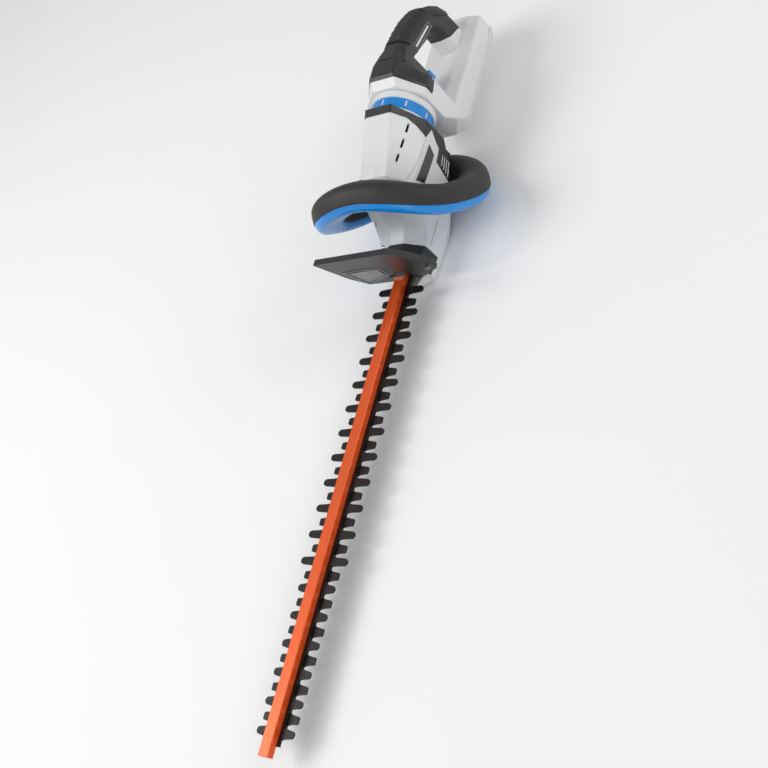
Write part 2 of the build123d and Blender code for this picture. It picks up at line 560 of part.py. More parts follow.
rear_shell -= box(-440, -265.5, -60, 60, -10, 14.5) + box(-440, -265.5, -36.3, 36.3, 14, 34.3)
rear_shell -= box(-440, -411, -7.4, 7.4, 30, 37.4)
for y in CONTACT_Y:
    rear_shell -= box(-267, -261, y - 0.5, y + 0.5, 18, 28)
rear_shell -= prism_xz([(-298.5, 122), (-298.5, 100), (-351.5, 84), (-351.5, 107)], -8.3, 8.3)
rear_shell -= box(-300, -240, -3.3, 3.3, 61.2, 67.8) + box(-300, -285.5, -9.3, 9.3, 60.7, 76.3)
boss = []
rear_screw_at = [(-255, 140, 26), (-243, 24, 39), (-270, 52, 27), (-359, 113, 16.5), (-388, 66, 16.5)]
for x, z, reach in rear_screw_at:
    rear_shell += (rod_y(x, z, 0, reach, 4.2) + rod_y(x, z, -reach, 0, 4.6)) & rear_outer
    rear_shell -= rod_y(x, z, -60, -reach + 3, 3.4)
    rear_shell -= rod_y(x, z, -reach, 0, 1.8) + rod_y(x, z, -1, reach - 5, 1.4)
    boss.append(rod_y(x, z, -reach + 0.6, -reach + 3, 3.2) + rod_y(x, z, -reach + 3, 0, 1.7)
                + rod_y(x, z, 0, reach - 6, 1.4))
PIVOT_X, PIVOT_Z = -304.5, 117.0
rear_shell += (rod_y(PIVOT_X, PIVOT_Z, 10.2, 16, 4.5) + rod_y(PIVOT_X, PIVOT_Z, -16, -10.2, 4.5)) & rear_outer
rear_shell -= rod_y(PIVOT_X, PIVOT_Z, -15.5, 15.5, 2.0)
for side in (1, -1):
    rear_shell += box(-334, -316, side * 5 if side > 0 else -15, 15 if side > 0 else side * 5, 121.5, 123.5) & rear_outer
rear_shell -= rod_y(PIVOT_X, PIVOT_Z, 8.2, 10.2, 3.3)
rear_shell -= box(-247, -241, -2.7, 2.7, 46.0, 50.0)
LOCK_X, LOCK_Z = -318.0, 133.0
rear_shell -= rod_y(LOCK_X, LOCK_Z, -40, -8, 5.3)
dark = prism_xz(DARK, -90, 90)
white_shell = rear_shell - dark
dark_shell = rear_shell & dark
white_left, white_right = halves(white_shell)
dark_left, dark_right = halves(dark_shell)
keep("rear_housing_left", white_left)
keep("rear_housing_right", white_right)
keep("handle_casing_left", dark_left)
keep("handle_casing_right", dark_right)
keep("rear_screws", group(boss))

soft_zone = prism_xz([(-297, 160), (-297, 134), (-330, 127), (-352, 119), (-372, 107), (-384, 92), (-396, 80),
                      (-440, 80), (-440, 160)], -60, 60)
soft = (grip_body(-1.6, 1, 9) - grip_body(0.0, 1, 9) - rod_y(LOCK_X, LOCK_Z, -40, -8, 5.3)) & soft_zone
keep("grip_overmould", max(soft.solids(), key=lambda s: s.volume))
inlay = prism_xz([(-306, 122), (-306, 119), (-350, 109.5), (-350, 112.5)], 17.0, 17.7)
inlay = inlay - rear_shell
keep("grip_inlay", max(inlay.solids(), key=lambda s: s.volume))

# Trigger on its cross pin, with the switch above it.
trigger = prism_xz([(-301, 121), (-300.5, 111), (-307, 107.5), (-326, 101.5), (-345, 95.5), (-346.5, 97), (-346.5, 103),
                    (-330, 112), (-312, 121)], -8.0, 8.0)
trigger -= rod_y(PIVOT_X, PIVOT_Z, -20, 20, 2.05)
keep("trigger", trigger)
keep("trigger_pin", rod_y(PIVOT_X, PIVOT_Z, -15.5, 15.5, 2.0))
keep("microswitch", box(-334, -318.5, -4.8, 4.8, 122.0, 129.0) + box(-333, -326.5, -2.5, 2.5, 119.6, 122.0))


def coil(axis, start, radius, wire, pitch, turns):
    """Round-wire coil spring starting at a point and rising along an axis."""
    path = Helix(pitch, pitch * turns, radius)
    section = Plane(origin=path @ 0, z_dir=path % 0) * Circle(wire / 2)
    spring = sweep(section, path=path, is_frenet=True)
    turn = {"z": Rot(0, 0, 0), "y": Rot(-90, 0, 0), "x": Rot(0, 90, 0)}[axis]
    return Pos(*start) * turn * spring


keep("trigger_spring", coil("y", (PIVOT_X, 8.4, PIVOT_Z), 2.5, 0.4, 0.5, 2.5))

# Lock-off button through the right side of the grip.
button = rod_y(LOCK_X, LOCK_Z, -19.5, -11.5, 5.0) + rod_y(LOCK_X, LOCK_Z, -11.5, -5.5, 3.0)
keep("lock_off_button", button)

# Rotation release: finger button at the front of the grip opening, bar and pawl up to the hub flange.
release = box(-305, -290.5, -9.0, 9.0, 61.0, 76.0) - box(-306, -303.6, -7.5, 7.5, 62.5, 74.5)
release += box(-291, -254.6, -3.0, 3.0, 61.5, 67.5) + box(-258.5, -254.6, -3.0, 3.0, 46.5, 62)
release += box(-258.5, -247.5, -2.2, 2.2, 46.5, 49.4)
keep("rotation_release", release)

# ---- battery ---------------------------------------------------------------------------------
pack_outline = [(-39.8, 14.2), (-39.8, 12), (-32, -4), (32, -4), (39.8, 12), (39.8, 14.2), (35.8, 14.2), (35.8, 34),
                (-35.8, 34), (-35.8, 14.2)]
pack_case = prism_yz(pack_outline, -423.5, -266.5)
pack_case -= box(-409, -279, -32.5, 32.5, -1, 31)
pack_case -= box(-421, -411, -9.0, 9.0, 6.0, 40) + box(-430, -420, -8.2, 8.2, 12, 30)
for y in CONTACT_Y:
    pack_case -= box(-279.5, -260, y - 1.3, y + 1.3, 16.5, 29.5)
keep("battery_case", pack_case)
cells = []
for i in range(5):
    for j in range(2):
        x0 = -408.0 + 25.6 * i
        cells.append(box(x0, x0 + 25, -31, 31, -0.6 + 15.6 * j, 14.4 + 15.6 * j))
keep("battery_cells", group(cells))
keep("terminal_block", box(-262.5, -250, -20, 20, 12, 33))
keep("tool_terminals", group([box(-277, -262.5, y - 0.5, y + 0.5, 18, 28) for y in CONTACT_Y]))
latch = box(-420.7, -411.3, -8.7, 8.7, 14.5, 33.9) + box(-418, -412, -6.7, 6.7, 33.9, 36.4)
latch += box(-427.5, -420.7, -7.9, 7.9, 17.0, 28.7)
keep("battery_latch", latch)
keep("latch_spring", coil("z", (-416, 0, 6.4), 3.4, 0.7, 1.9, 4.0))

# ---- write the pieces ---------------------------------------------------------------------
os.makedirs("parts", exist_ok=True)
for name, shape in nodes.items():
    export_step(shape.moved(Location(SHIFT)), "parts/" + name + ".step")
    print(name, len(shape.solids()), round(shape.volume / 1000, 2), "cm3")
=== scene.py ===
import math

import bmesh
import bpy
import numpy as np
from mathutils import Matrix, Vector


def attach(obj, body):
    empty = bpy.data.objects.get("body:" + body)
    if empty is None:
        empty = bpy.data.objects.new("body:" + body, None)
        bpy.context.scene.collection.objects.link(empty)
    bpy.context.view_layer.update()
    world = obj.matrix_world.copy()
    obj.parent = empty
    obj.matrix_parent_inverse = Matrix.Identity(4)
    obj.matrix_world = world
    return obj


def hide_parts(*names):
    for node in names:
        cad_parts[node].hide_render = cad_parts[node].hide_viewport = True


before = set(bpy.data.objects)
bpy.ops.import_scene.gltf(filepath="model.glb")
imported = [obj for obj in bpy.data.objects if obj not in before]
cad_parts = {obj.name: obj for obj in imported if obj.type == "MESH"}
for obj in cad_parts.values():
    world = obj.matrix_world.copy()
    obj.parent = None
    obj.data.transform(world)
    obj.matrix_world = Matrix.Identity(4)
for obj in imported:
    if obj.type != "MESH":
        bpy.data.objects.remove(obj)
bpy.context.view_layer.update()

# Datum of the tool: the first long tooth, in the plane where the blades meet. Sizes below are
# in millimetres from this point, and go into the shared frame in metres through place().
DATUM = np.array([-87.5, 0.0, 30.8])


def place(points):
    """Millimetres from the datum turned into metres in the shared frame: (point + datum) / 1000."""
    return (np.asarray(points, float) + DATUM) / 1000.0


# ---- camera: long lens above the tool's left front, blade tip towards the viewer --------------
# The tool lies level while the camera is rolled, so the blade runs down the frame.
camera_data = bpy.data.cameras.new("studio_camera")
camera_data.sensor_width = 36.0
camera_data.lens = 1226.8 * 36.0 / 768.0
camera_data.clip_start, camera_data.clip_end = 0.05, 30.0
camera = bpy.data.objects.new("studio_camera", camera_data)
bpy.context.scene.collection.objects.link(camera)
across = Vector((-0.249445, 0.773193, -0.583052))
downward = Vector((0.887933, -0.057660, -0.456344))
ahead = Vector((-0.386461, -0.631544, -0.672161))
turn = Matrix((across, -downward, -ahead)).transposed()
camera.matrix_world = Matrix.Translation(Vector(place([732.7, 988.3, 1036.9]))) @ turn.to_4x4()
bpy.context.scene.camera = camera

# ---- studio: pale sweep of floor, bright world, three soft boxes -------------------------------
# The floor is one large plane under the tool, and the boxes give long soft highlights.


def flat_material(name, colour, roughness):
    """Plain backdrop paint: one Principled shader with a faint cloudy tint."""
    mat = bpy.data.materials.new(name)
    mat.use_nodes = True
    nodes, links = mat.node_tree.nodes, mat.node_tree.links
    shader = nodes["Principled BSDF"]
    shader.inputs["Roughness"].default_value = roughness
    coord = nodes.new("ShaderNodeTexCoord")
    cloud = nodes.new("ShaderNodeTexNoise")
    cloud.inputs["Scale"].default_value = 3.0
    ramp = nodes.new("ShaderNodeMapRange")
    ramp.inputs["To Min"].default_value, ramp.inputs["To Max"].default_value = 0.985, 1.0
    tint = nodes.new("ShaderNodeVectorMath")
    tint.operation = "SCALE"
    tint.inputs[0].default_value = colour
    links.new(coord.outputs["Object"], cloud.inputs["Vector"])
    links.new(cloud.outputs["Fac"], ramp.inputs["Value"])
    links.new(ramp.outputs["Result"], tint.inputs["Scale"])
    links.new(tint.outputs["Vector"], shader.inputs["Base Color"])
    return mat


floor_mesh = bpy.data.meshes.new("floor")
floor_mesh.from_pydata([(-6, -6, 0), (6, -6, 0), (6, 6, 0), (-6, 6, 0)], [], [(0, 1, 2, 3)])
floor = bpy.data.objects.new("floor", floor_mesh)
bpy.context.scene.collection.objects.link(floor)
floor_mesh.materials.append(flat_material("floor_paint", (0.93, 0.93, 0.93), 0.9))

world = bpy.data.worlds.new("studio")
bpy.context.scene.world = world
world.use_nodes = True
world.node_tree.nodes["Background"].inputs["Color"].default_value = (1.0, 1.0, 1.0, 1.0)
world.node_tree.nodes["Background"].inputs["Strength"].default_value = 0.50
bpy.context.scene.view_settings.view_transform = "Standard"


def soft_box(name, spot, aim, size, power):
    """Square area light at a place, turned to face a point."""
    data = bpy.data.lights.new(name, "AREA")
    data.shape, data.size, data.energy = "SQUARE", size, power
    lamp = bpy.data.objects.new(name, data)
    lamp.location = spot
    lamp.rotation_mode = "QUATERNION"
    lamp.rotation_quaternion = (Vector(aim) - Vector(spot)).to_track_quat("-Z", "Y")
    bpy.context.scene.collection.objects.link(lamp)


soft_box("key_box", (0.7, -1.5, 2.2), (-0.1, 0, 0.1), 1.4, 34.0)
soft_box("side_box", (-0.9, 2.0, 1.2), (-0.1, 0, 0.1), 1.0, 12.0)
soft_box("tip_box", (2.0, 0.9, 0.9), (0.0, 0, 0.1), 1.0, 8.0)


# ---- power head shells ------------------------------------------------------------------------------
# Two halves of moulded ABS with a fine spark texture, joined on the centre line by six plated
# screws from the right. Their edges are rounded by under a millimetre and show a parting line.


def new_group(name, floats, colours, outputs):
    """Empty shader group with named sockets, and its input and output nodes."""
    group = bpy.data.node_groups.new(name, "ShaderNodeTree")
    for label in colours:
        group.interface.new_socket(label, in_out="INPUT", socket_type="NodeSocketColor")
    for label in floats:
        group.interface.new_socket(label, in_out="INPUT", socket_type="NodeSocketFloat")
    for label, kind in outputs:
        group.interface.new_socket(label, in_out="OUTPUT", socket_type=kind)
    return group, group.nodes.new("NodeGroupInput"), group.nodes.new("NodeGroupOutput")


def wire(tree, pairs):
    """Joins each (output, input) pair of sockets."""
    for start, end in pairs:
        tree.links.new(start, end)


def math_node(tree, operation, first=None, second=None):
    """Math node with numbers or sockets on its first two inputs."""
    node = tree.nodes.new("ShaderNodeMath")
    node.operation = operation
    for slot_index, value in enumerate((first, second)):
        if value is None:
            continue
        if isinstance(value, (int, float)):
            node.inputs[slot_index].default_value = value
        else:
            tree.links.new(value, node.inputs[slot_index])
    return node.outputs[0]


def moulded_skin_group():
    """Moulded plastic: cloudy tint, fine stipple in the bump, and rubbed patches that shine more."""
    group, given, out = new_group(
        "moulded_skin", ("Roughness", "Stipple", "Stipple Scale", "Cloud", "Rub"), ("Colour", "Soil"),
        (("Colour", "NodeSocketColor"), ("Roughness", "NodeSocketFloat"), ("Normal", "NodeSocketVector")))
    nodes = group.nodes
    coord = nodes.new("ShaderNodeTexCoord")
    cloud = nodes.new("ShaderNodeTexNoise")
    cloud.inputs["Scale"].default_value = 22.0
    cloud.inputs["Detail"].default_value = 5.0
    fine = nodes.new("ShaderNodeTexNoise")
    fine.inputs["Detail"].default_value = 3.0
    patch = nodes.new("ShaderNodeTexNoise")
    patch.inputs["Scale"].default_value = 60.0
    patch.inputs["Detail"].default_value = 8.0
    patch.inputs["Roughness"].default_value = 0.65
    patch_mask = nodes.new("ShaderNodeMapRange")
    patch_mask.inputs["From Min"].default_value, patch_mask.inputs["From Max"].default_value = 0.52, 0.78
    tint = nodes.new("ShaderNodeMix")
    tint.data_type = "RGBA"
    cloud_part = math_node(group, "MULTIPLY", cloud.outputs["Fac"], given.outputs["Cloud"])
    rub_part = math_node(group, "MULTIPLY", patch_mask.outputs["Result"], given.outputs["Rub"])
    soil_part = math_node(group, "ADD", cloud_part, rub_part)
    rough_step = math_node(group, "SUBTRACT", cloud.outputs["Fac"], 0.5)
    rough_step = math_node(group, "MULTIPLY", rough_step, 0.12)
    rough_rub = math_node(group, "MULTIPLY", rub_part, -0.25)
    rough = math_node(group, "ADD", given.outputs["Roughness"], rough_step)
    rough = math_node(group, "ADD", rough, rough_rub)
    bump = nodes.new("ShaderNodeBump")
    bump.inputs["Distance"].default_value = 0.0003
    here = coord.outputs["Object"]
    wire(group, [(here, cloud.inputs["Vector"]), (here, fine.inputs["Vector"]),
                 (here, patch.inputs["Vector"]),
                 (given.outputs["Stipple Scale"], fine.inputs["Scale"]),
                 (patch.outputs["Fac"], patch_mask.inputs["Value"]), (soil_part, tint.inputs["Factor"]),
                 (given.outputs["Colour"], tint.inputs[6]), (given.outputs["Soil"], tint.inputs[7]),
                 (fine.outputs["Fac"], bump.inputs["Height"]),
                 (given.outputs["Stipple"], bump.inputs["Strength"]),
                 (tint.outputs[2], out.inputs["Colour"]), (rough, out.inputs["Roughness"]),
                 (bump.outputs["Normal"], out.inputs["Normal"])])
    return group


def finish(name, group, colours, numbers, metallic=0.0, coat=0.0, coat_roughness=0.2, specular=0.5):
    """Material whose shader takes colour, roughness and normal from a shared group."""
    mat = bpy.data.materials.new(name)
    mat.use_nodes = True
    nodes, links = mat.node_tree.nodes, mat.node_tree.links
    shader = nodes["Principled BSDF"]
    detail = nodes.new("ShaderNodeGroup")
    detail.node_tree = group
    for label, value in colours.items():
        detail.inputs[label].default_value = (*value, 1.0)
    for label, value in numbers.items():
        detail.inputs[label].default_value = value
    shader.inputs["Metallic"].default_value = metallic
    shader.inputs["Coat Weight"].default_value = coat
    shader.inputs["Coat Roughness"].default_value = coat_roughness
    shader.inputs["Specular IOR Level"].default_value = specular
    links.new(detail.outputs["Colour"], shader.inputs["Base Color"])
    links.new(detail.outputs["Roughness"], shader.inputs["Roughness"])
    links.new(detail.outputs["Normal"], shader.inputs["Normal"])
    return mat


MOULDED = moulded_skin_group()


def moulded(name, colour, soil, roughness, stipple, scale=900.0, cloud=0.1, rub=0.05, **shader):
    """Moulded plastic or rubber finish."""
    numbers = {"Roughness": roughness, "Stipple": stipple, "Stipple Scale": scale, "Cloud": cloud, "Rub": rub}
    return finish(name, MOULDED, {"Colour": colour, "Soil": soil}, numbers, **shader)


def dress(material, *names):
    """Puts one material on CAD nodes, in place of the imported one."""
    for name in names:
        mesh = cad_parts[name].data
        mesh.materials.clear()
        mesh.materials.append(material)


def piece(name, mesh, material, body, *replaced):
    """Object for a finished mesh, with its material, the body it rides on and the nodes it stands for."""
    obj = bpy.data.objects.new(name, mesh)
    bpy.context.scene.collection.objects.link(obj)
    mesh.materials.append(material)
    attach(obj, body)
    if replaced:
        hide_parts(*replaced)
    return obj


def softened(node, material, body, width_mm, segments=2, limit=28.0):
    """Copy of one part with a bevel: points closer than 1 micrometre are merged first, then every
    edge that turns by more than the limit in degrees is rounded by the width."""
    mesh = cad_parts[node].data.copy()
    work = bmesh.new()
    work.from_mesh(mesh)
    bmesh.ops.remove_doubles(work, verts=work.verts, dist=1e-6)
    bmesh.ops.dissolve_limit(work, angle_limit=math.radians(0.6), verts=work.verts, edges=work.edges)
    work.to_mesh(mesh)
    work.free()
    mesh.materials.clear()
    mesh.name = node + "_soft"
    obj = piece(node + "_soft", mesh, material, body, node)
    bevel = obj.modifiers.new("edge", "BEVEL")
    bevel.width, bevel.segments = width_mm / 1000.0, segments
    bevel.limit_method, bevel.angle_limit = "ANGLE", math.radians(limit)
    bevel.use_clamp_overlap = True
    for polygon in mesh.polygons:
        polygon.use_smooth = True
    mesh.set_sharp_from_angle(angle=math.radians(24))
    return obj


WHITE = moulded("white_shell", (0.76, 0.77, 0.775), (0.60, 0.60, 0.59), 0.36, 0.10, cloud=0.10, rub=0.04)
dress(WHITE, "housing_left", "housing_right")
softened("housing_left", WHITE, "powerhead", 0.7)
softened("housing_right", WHITE, "powerhead", 0.7)

# ---- screws, pins and springs ---------------------------------------------------------------------
# Zinc-plated steel: the screws that close the shells, the trigger's pin, both springs and the
# lamination packs of the motor. Turning marks and small worn patches break the shine.


def worked_metal_group():
    """Worked metal: fine grinding lines along one axis, dark specks, and worn light patches."""
    group, given, out = new_group(
        "worked_metal", ("Roughness", "Lines", "Wear", "Specks"), ("Colour", "Worn"),
        (("Colour", "NodeSocketColor"), ("Roughness", "NodeSocketFloat"), ("Normal", "NodeSocketVector")))
    nodes = group.nodes
    coord = nodes.new("ShaderNodeTexCoord")
    stretch = nodes.new("ShaderNodeMapping")
    stretch.inputs["Scale"].default_value = (30.0, 1200.0, 1200.0)
    lines = nodes.new("ShaderNodeTexNoise")
    lines.inputs["Scale"].default_value = 1.0
    lines.inputs["Detail"].default_value = 2.0
    wear = nodes.new("ShaderNodeTexNoise")
    wear.inputs["Scale"].default_value = 90.0
    wear.inputs["Detail"].default_value = 9.0
    wear.inputs["Roughness"].default_value = 0.7
    wear_mask = nodes.new("ShaderNodeMapRange")
    wear_mask.inputs["From Min"].default_value, wear_mask.inputs["From Max"].default_value = 0.55, 0.72
    specks = nodes.new("ShaderNodeTexVoronoi")
    specks.inputs["Scale"].default_value = 500.0
    speck_mask = nodes.new("ShaderNodeMapRange")
    speck_mask.inputs["From Min"].default_value, speck_mask.inputs["From Max"].default_value = 0.12, 0.02
    worn = nodes.new("ShaderNodeMix")
    worn.data_type = "RGBA"
    darker = nodes.new("ShaderNodeMix")
    darker.data_type = "RGBA"
    darker.blend_type = "MULTIPLY"
    darker.inputs[7].default_value = (0.35, 0.33, 0.3, 1.0)
    wear_part = math_node(group, "MULTIPLY", wear_mask.outputs["Result"], given.outputs["Wear"])
    speck_part = math_node(group, "MULTIPLY", speck_mask.outputs["Result"], given.outputs["Specks"])
    rough = math_node(group, "SUBTRACT", lines.outputs["Fac"], 0.5)
    rough = math_node(group, "MULTIPLY", rough, given.outputs["Lines"])
    rough = math_node(group, "ADD", rough, given.outputs["Roughness"])
    bump = nodes.new("ShaderNodeBump")
    bump.inputs["Distance"].default_value = 0.0001
    here = coord.outputs["Object"]
    wire(group, [(here, stretch.inputs["Vector"]), (stretch.outputs["Vector"], lines.inputs["Vector"]),
                 (here, wear.inputs["Vector"]), (here, specks.inputs["Vector"]),
                 (wear.outputs["Fac"], wear_mask.inputs["Value"]),
                 (specks.outputs["Distance"], speck_mask.inputs["Value"]),
                 (wear_part, worn.inputs["Factor"]), (given.outputs["Colour"], worn.inputs[6]),
                 (given.outputs["Worn"], worn.inputs[7]), (worn.outputs[2], darker.inputs[6]),
                 (speck_part, darker.inputs["Factor"]), (lines.outputs["Fac"], bump.inputs["Height"]),
                 (given.outputs["Lines"], bump.inputs["Strength"]), (darker.outputs[2], out.inputs["Colour"]),
                 (rough, out.inputs["Roughness"]), (bump.outputs["Normal"], out.inputs["Normal"])])
    return group


WORKED = worked_metal_group()


def metal(name, colour, worn, roughness, lines=0.2, wear=0.3, specks=0.2, metallic=1.0, **shader):
    """Ground, cast or painted metal finish."""
    numbers = {"Roughness": roughness, "Lines": lines, "Wear": wear, "Specks": specks}
    return finish(name, WORKED, {"Colour": colour, "Worn": worn}, numbers, metallic=metallic, **shader)


PLATED = metal("plated_screw", (0.42, 0.42, 0.43), (0.56, 0.56, 0.57), 0.32)
dress(PLATED, "housing_screws", "guard_screws", "saddle_screws", "gear_case_screws", "blade_bolts",
      "blade_washers", "cover_screws", "rear_screws", "trigger_pin", "trigger_spring", "latch_spring",
      "motor_stator", "motor_rotor")

# ---- dark band, grilles and blank side plates -------------------------------------------------------
# Charcoal mouldings snapped to the shells, with pale bars in the grilles' slots. The side plates
# are gloss film on a thin plate, and carry nothing.


def grid_mesh(name, points, close_rows=False):
    """Mesh from a rows x columns x 3 array of points: each cell of the grid is one quad."""
    rows, columns = points.shape[:2]
    i = np.arange(rows if close_rows else rows - 1)[:, None]
    j = np.arange(columns - 1)[None, :]
    near, far = i * columns + j, ((i + 1) % rows) * columns + j
    quads = np.stack([near, near + 1, far + 1, far], axis=-1).reshape(-1, 4)
    mesh = bpy.data.meshes.new(name)
    mesh.from_pydata(points.reshape(-1, 3).tolist(), [], quads.tolist())
    mesh.shade_smooth()
    mesh.update()
    return mesh


def joined_grids(name, grids):
    """One mesh from several open grids of points."""
    work = bmesh.new()
    for points in grids:
        part = grid_mesh(name + "_part", points)
        work.from_mesh(part)
        bpy.data.meshes.remove(part)
    mesh = bpy.data.meshes.new(name)
    work.to_mesh(mesh)
    work.free()
    mesh.shade_smooth()
    return mesh


def raised_line(corners, across_dir, radius, closed=True, steps=6):
    """Half-round bead along straight runs between corners: radius cos(b) sideways in the face and
    radius sin(b) out of it, for b from 0 to 180 degrees."""
    corners = np.asarray(corners, float)
    across_dir = np.asarray(across_dir, float) / np.linalg.norm(across_dir)
    ahead_run = np.roll(corners, -1, axis=0) - corners
    ahead_run /= np.linalg.norm(ahead_run, axis=1)[:, None]
    back_run = np.roll(ahead_run, 1, axis=0)
    if not closed:
        back_run[0], ahead_run[-1] = ahead_run[0], back_run[-1]
    side = np.cross(ahead_run + back_run, across_dir)
    side /= np.linalg.norm(side, axis=1)[:, None]
    stretch = 1 / np.clip(np.sqrt((1 + np.sum(ahead_run * back_run, axis=1)) / 2), 0.4, 1)
    b = np.radians(np.linspace(0, 180, steps + 1))
    rows = (corners[:, None, :] + (radius * np.cos(b))[None, :, None] * (side * stretch[:, None])[:, None, :]
            + (radius * np.sin(b))[None, :, None] * across_dir)
    return np.concatenate([rows, rows[:1]]) if closed else rows


def addition(name, grids, material, body):
    """Piece with no node of its own: it takes the material slot of a neighbour."""
    obj = piece(name, joined_grids(name, grids), material, body)
    return obj


DARK = moulded("dark_shell", (0.018, 0.018, 0.019), (0.05, 0.05, 0.05), 0.42, 0.25, cloud=0.2, rub=0.15)
LABEL = moulded("label_film", (0.012, 0.012, 0.013), (0.03, 0.03, 0.03), 0.22, 0.03, cloud=0.1, coat=0.5)
dress(DARK, "trim_band", "side_vent_left", "side_vent_right")
dress(LABEL, "label_plates")
softened("trim_band", DARK, "powerhead", 0.3)
BAR_TILT = math.radians(14)
BAR_FACE = 49.9
bars = []
for i in range(4):
    centre = np.array([-166 + 1.2 * i, 0.0, 47.0 - 5.2 * i])
    half = (7.6 + i) * np.array([math.cos(BAR_TILT), 0.0, -math.sin(BAR_TILT)])
    for side in (1, -1):
        face = np.array([0, side * BAR_FACE, 0])
        bar_line = np.linspace(centre - half + face, centre + half + face, 6)
        bars.append(place(raised_line(bar_line, (0, side, 0), 0.95, closed=False)))
addition("grille_bars", bars, WHITE, "powerhead")

# ---- turning joint between power head and rear handle ------------------------------------------------
# A filled nylon hub turns in the rear handle. The blue index ring and the white collar are
# pressed on it; the ring carries a printed tick at each stop and a white lip at its front.
SWIVEL_Z = 90.0


def ring_patch(x0, x1, radius, turn_deg, half_width):
    """Thin curved patch on the ring: (x, r sin(t), r cos(t)) about the swivel axis."""
    x = np.linspace(x0, x1, 5)
    t = np.radians(turn_deg) + np.linspace(-half_width, half_width, 5) / radius
    xx, tt = np.meshgrid(x, t, indexing="ij")
    return np.stack([xx, radius * np.sin(tt), SWIVEL_Z + radius * np.cos(tt)], axis=-1)


BLUE = moulded("blue_shell", (0.0, 0.245, 0.70), (0.0, 0.18, 0.52), 0.30, 0.05, cloud=0.15, rub=0.05,
               coat=0.15)
NYLON = moulded("filled_nylon", (0.06, 0.06, 0.062), (0.10, 0.10, 0.10), 0.55, 0.4)
dress(NYLON, "swivel_hub")
dress(BLUE, "index_ring")
dress(WHITE, "fixed_collar")
softened("fixed_collar", WHITE, "powerhead", 0.8)
ticks = [place(ring_patch(-213.5, -205.0, 42.12, stop, 1.0)) for stop in (-90, -45, 0, 45, 90)]
addition("index_ticks", ticks, WHITE, "powerhead")

turns = np.linspace(0, 2 * np.pi, 121)[:, None]
lip_x = np.array([-197.4, -198.6, -199.8, -200.4, -200.4])
lip_r = np.array([43.4, 43.4, 43.1, 42.5, 41.6])
ring_lip = np.stack([np.broadcast_to(lip_x, (121, 5)), lip_r * np.sin(turns),
                     SWIVEL_Z + lip_r * np.cos(turns)], axis=-1)
addition("ring_lip", [place(ring_lip)], WHITE, "powerhead")

# ---- hand guard -------------------------------------------------------------------------------------
# A leaning charcoal plate with a sleeve over the nose, held by a screw in its boss. Its grey
# panel is blank, inside a thin black border.
LEAN = 0.364
GUARD_X = -26.0
PANEL_FACE = 5.15
GREY = moulded("grey_panel", (0.20, 0.20, 0.205), (0.14, 0.14, 0.14), 0.40, 0.2, cloud=0.2)
dress(DARK, "hand_guard")
dress(GREY, "guard_badge")
softened("hand_guard", DARK, "powerhead", 0.9)
softened("guard_badge", GREY, "powerhead", 0.3)
border = [(GUARD_X + LEAN * z + PANEL_FACE, y, z) for y, z in ((-52, 56), (1.5, 57), (-11, 24), (-61, 1.5))]
addition("badge_border", [place(raised_line(border, (1, 0, -LEAN), 0.8))], LABEL, "powerhead")

# ---- wrap-around front handle --------------------------------------------------------------------
# A blue shell carries a black soft overmould on its rear side; both are moulded rings, bent
# forward at the sides so the hands clear the body. A dark saddle screws them under the shells.
LOOP_CENTRE = np.array([-114.5, 0.0, 76.0])
LOOP_UP = np.array([0.7083, 0.0, 0.7059])
LOOP_FORE = np.array([0.7059, 0.0, -0.7083])


def loop_line(turns):
    """Centre line: y and height follow a superellipse of power 2.48 whose half widths are 88.2 at the
    top and 97.3 at the foot, heights 72 and 114.3; the line leads forward by 33.6 (y / 100) squared."""
    c, s = np.cos(turns), np.sin(turns)
    y = np.sign(c) * np.abs(c) ** (2 / 2.48)
    h = np.sign(s) * np.abs(s) ** (2 / 2.48)
    y = y * (97.3 + (88.2 - 97.3) * (1 + h) / 2)
    h = h * np.where(h > 0, 72.0, 114.3)
    lead = 33.6 * (y / 100) ** 2
    sideways = y[:, None] * np.array([0.0, 1.0, 0.0])
    return LOOP_CENTRE + sideways + h[:, None] * LOOP_UP + lead[:, None] * LOOP_FORE


def even_loop(count):
    """The same line resampled to equal steps of arc length, with its outward and forward directions."""
    dense = loop_line(np.linspace(-np.pi / 2, 1.5 * np.pi, 6001))
    run = np.concatenate([[0], np.cumsum(np.linalg.norm(np.diff(dense, axis=0), axis=1))])
    wanted = np.linspace(0, run[-1], count, endpoint=False)
    line = np.stack([np.interp(wanted, run, dense[:, k]) for k in range(3)], axis=1)
    for _ in range(3):
        line = 0.5 * line + 0.25 * (np.roll(line, 1, axis=0) + np.roll(line, -1, axis=0))
    along = np.roll(line, -1, axis=0) - np.roll(line, 1, axis=0)
    along /= np.linalg.norm(along, axis=1)[:, None]
    out = np.cross(along, LOOP_FORE)
    out /= np.linalg.norm(out, axis=1)[:, None]
    nose = np.cross(out, along)
    return line, out, nose


def carried(line, out, nose, profile):
    """Ring surface: each profile point (outward, forward) is carried round the line on its two directions."""
    a, b = profile[:, 0], profile[:, 1]
    return line[:, None, :] + a[None, :, None] * out[:, None, :] + b[None, :, None] * nose[:, None, :]


def oval(half_out, half_fore, power, start, end, count):
    """Superellipse arc between two angles in degrees: out = half_out |cos|^(2/power) and
    fore = half_fore |sin|^(2/power), each with the sign of its cosine or sine."""
    t = np.radians(np.linspace(start, end, count))
    c, s = np.cos(t), np.sin(t)
    return np.stack([half_out * np.sign(c) * np.abs(c) ** (2 / power),
                     half_fore * np.sign(s) * np.abs(s) ** (2 / power)], axis=1)


RUBBER = moulded("soft_rubber", (0.016, 0.015, 0.014), (0.045, 0.043, 0.041), 0.58, 0.45, scale=1300.0,
                 cloud=0.3, rub=0.2)
dress(RUBBER, "front_handle_grip")
dress(BLUE, "front_handle_shell")
dress(DARK, "handle_saddle")
